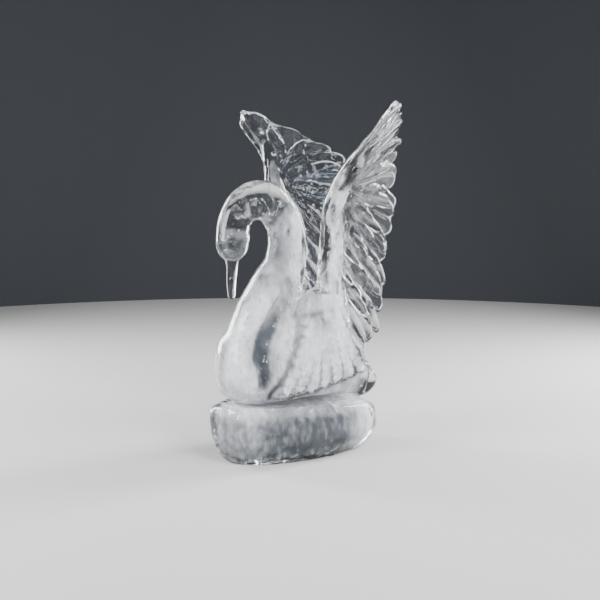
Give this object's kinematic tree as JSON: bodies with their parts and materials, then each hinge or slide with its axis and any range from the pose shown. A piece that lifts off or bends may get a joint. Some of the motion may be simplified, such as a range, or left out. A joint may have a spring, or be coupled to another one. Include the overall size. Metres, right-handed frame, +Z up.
{
  "type": "ice swan sculpture",
  "caption": "Clear ice sculpture of a swan with raised wings and an arched neck, carved in one with the rough block of ice that it rests on.",
  "frame": {"origin": "on the flat underside of the footing, on the middle plane of the swan", "axes": "+Z up, the swan faces -Y, its left wing is at +X"},
  "size_m": [0.6547, 0.5388, 0.9419],
  "materials": {
    "ice": "clear melted ice, with cloudy trapped air and bubbles inside"
  },
  "bodies": {
    "root": {"ice_swan": "ice"}
  },
  "joints": []
}
